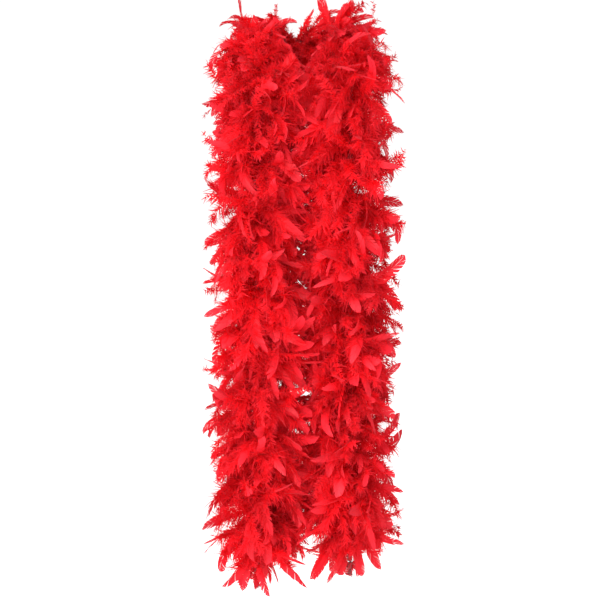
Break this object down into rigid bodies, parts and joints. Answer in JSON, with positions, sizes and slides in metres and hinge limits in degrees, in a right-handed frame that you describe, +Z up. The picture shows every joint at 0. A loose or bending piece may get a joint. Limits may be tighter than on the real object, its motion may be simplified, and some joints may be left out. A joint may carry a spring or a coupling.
{
  "type": "feather boa",
  "caption": "Long flexible boa of dyed feathers and down bound round a cord, worn round the neck with both tails hanging down in front.",
  "frame": {"origin": "where the nape of the wearer's neck touches the inner side of the collar's down", "axes": "+Z up, along the hanging tails; -Y to the front, where the tails hang; +X to the right in the front view"},
  "size_m": [0.2966, 0.2915, 0.9614],
  "materials": {
    "flats": "satin",
    "down": "matte",
    "cord": "matte",
    "thread": "satin"
  },
  "bodies": {
    "collar": {"core_cord_collar": "cord", "binding_collar": "thread", "feathers_nape": "flats", "feathers_left_shoulder": "flats", "feathers_right_shoulder": "flats", "down_nape": "down", "down_left_shoulder": "down", "down_right_shoulder": "down"},
    "left_1": {"core_cord_left_1": "cord", "binding_left_1": "thread", "feathers_left_1": "flats", "down_left_1": "down"},
    "left_2": {"core_cord_left_2": "cord", "binding_left_2": "thread", "feathers_left_2": "flats", "down_left_2": "down"},
    "left_3": {"core_cord_left_3": "cord", "binding_left_3": "thread", "feathers_left_3": "flats", "down_left_3": "down"},
    "left_4": {"core_cord_left_4": "cord", "binding_left_4": "thread", "feathers_left_4": "flats", "down_left_4": "down", "end_whipping_left": "thread", "end_knot_left": "cord", "frayed_end_left": "cord"},
    "right_1": {"core_cord_right_1": "cord", "binding_right_1": "thread", "feathers_right_1": "flats", "down_right_1": "down"},
    "right_2": {"core_cord_right_2": "cord", "binding_right_2": "thread", "feathers_right_2": "flats", "down_right_2": "down"},
    "right_3": {"core_cord_right_3": "cord", "binding_right_3": "thread", "feathers_right_3": "flats", "down_right_3": "down"},
    "right_4": {"core_cord_right_4": "cord", "binding_right_4": "thread", "feathers_right_4": "flats", "down_right_4": "down", "end_whipping_right": "thread", "end_knot_right": "cord", "frayed_end_right": "cord"}
  },
  "joints": [
    {"name": "left_1_swing", "type": "hinge", "parent": "collar", "child": "left_1", "pos_m": [-0.074, -0.13383, -0.16783], "axis": [1, 0, 0], "range_deg": [-25, 25]},
    {"name": "left_2_sway", "type": "hinge", "parent": "left_1", "child": "left_2", "pos_m": [-0.074, -0.13383, -0.34183], "axis": [0, 1, 0], "range_deg": [0, 25]},
    {"name": "left_3_swing", "type": "hinge", "parent": "left_2", "child": "left_3", "pos_m": [-0.074, -0.13383, -0.51583], "axis": [1, 0, 0], "range_deg": [-25, 25]},
    {"name": "left_4_sway", "type": "hinge", "parent": "left_3", "child": "left_4", "pos_m": [-0.074, -0.13383, -0.68983], "axis": [0, 1, 0], "range_deg": [0, 25]},
    {"name": "right_1_swing", "type": "hinge", "parent": "collar", "child": "right_1", "pos_m": [0.074, -0.13383, -0.16783], "axis": [1, 0, 0], "range_deg": [-25, 25]},
    {"name": "right_2_sway", "type": "hinge", "parent": "right_1", "child": "right_2", "pos_m": [0.074, -0.13383, -0.33708], "axis": [0, -1, 0], "range_deg": [0, 25]},
    {"name": "right_3_swing", "type": "hinge", "parent": "right_2", "child": "right_3", "pos_m": [0.074, -0.13383, -0.50633], "axis": [1, 0, 0], "range_deg": [-25, 25]},
    {"name": "right_4_sway", "type": "hinge", "parent": "right_3", "child": "right_4", "pos_m": [0.074, -0.13383, -0.67558], "axis": [0, -1, 0], "range_deg": [0, 25]}
  ]
}
